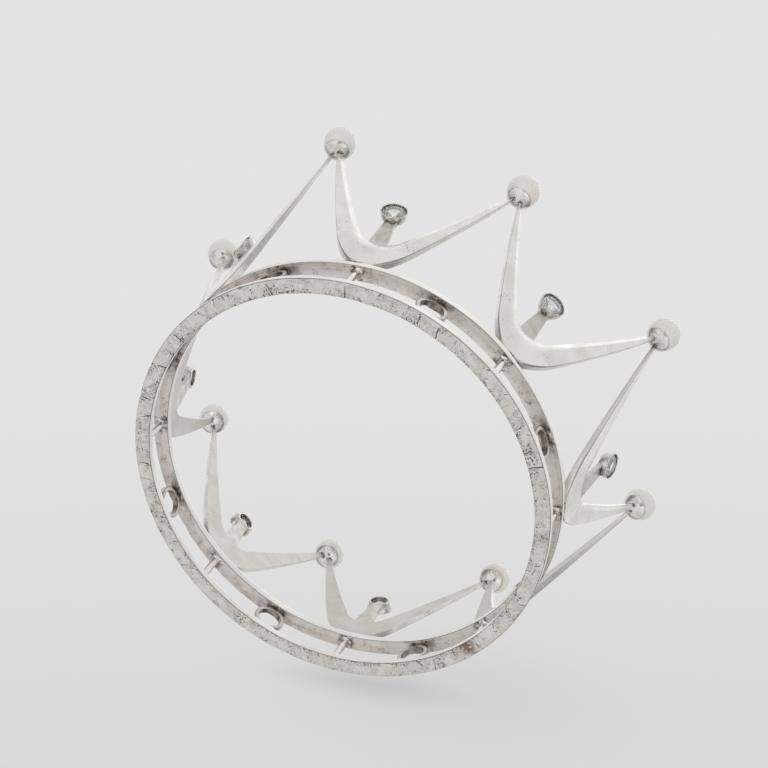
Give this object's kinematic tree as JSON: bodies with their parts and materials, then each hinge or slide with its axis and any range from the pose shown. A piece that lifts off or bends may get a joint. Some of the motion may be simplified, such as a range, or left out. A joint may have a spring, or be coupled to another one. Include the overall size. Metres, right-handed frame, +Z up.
{
  "type": "bridal crown",
  "caption": "Silver crown on two spaced hoops, with leaning V gables, collet-set clear stones and pearls on the points.",
  "frame": {"origin": "centre of the lower hoop's bottom face", "axes": "+Z up along the crown's axis from the hoops to the pearls; +X out through the middle of gable 1"},
  "size_m": [0.1232, 0.1239, 0.0615],
  "materials": {
    "silver": "worn satin to polished silver",
    "rock_crystal": "clear faceted",
    "pearl": "white pearl lustre"
  },
  "bodies": {
    "root": {"lower_hoop": "silver", "upper_hoop": "silver", "spacer_posts": "silver", "pearl_pegs": "silver", "eyelet_1": "silver", "gable_1": "silver", "stem_1": "silver", "collet_1": "silver", "stone_1": "rock_crystal", "pearl_cup_1": "silver", "pearl_1": "pearl", "eyelet_2": "silver", "gable_2": "silver", "stem_2": "silver", "collet_2": "silver", "stone_2": "rock_crystal", "pearl_cup_2": "silver", "pearl_2": "pearl", "eyelet_3": "silver", "gable_3": "silver", "stem_3": "silver", "collet_3": "silver", "stone_3": "rock_crystal", "pearl_cup_3": "silver", "pearl_3": "pearl", "eyelet_4": "silver", "gable_4": "silver", "stem_4": "silver", "collet_4": "silver", "stone_4": "rock_crystal", "pearl_cup_4": "silver", "pearl_4": "pearl", "eyelet_5": "silver", "gable_5": "silver", "stem_5": "silver", "collet_5": "silver", "stone_5": "rock_crystal", "pearl_cup_5": "silver", "pearl_5": "pearl", "eyelet_6": "silver", "gable_6": "silver", "stem_6": "silver", "collet_6": "silver", "stone_6": "rock_crystal", "pearl_cup_6": "silver", "pearl_6": "pearl", "eyelet_7": "silver", "gable_7": "silver", "stem_7": "silver", "collet_7": "silver", "stone_7": "rock_crystal", "pearl_cup_7": "silver", "pearl_7": "pearl", "eyelet_8": "silver", "gable_8": "silver", "stem_8": "silver", "collet_8": "silver", "stone_8": "rock_crystal", "pearl_cup_8": "silver", "pearl_8": "pearl"}
  },
  "joints": []
}
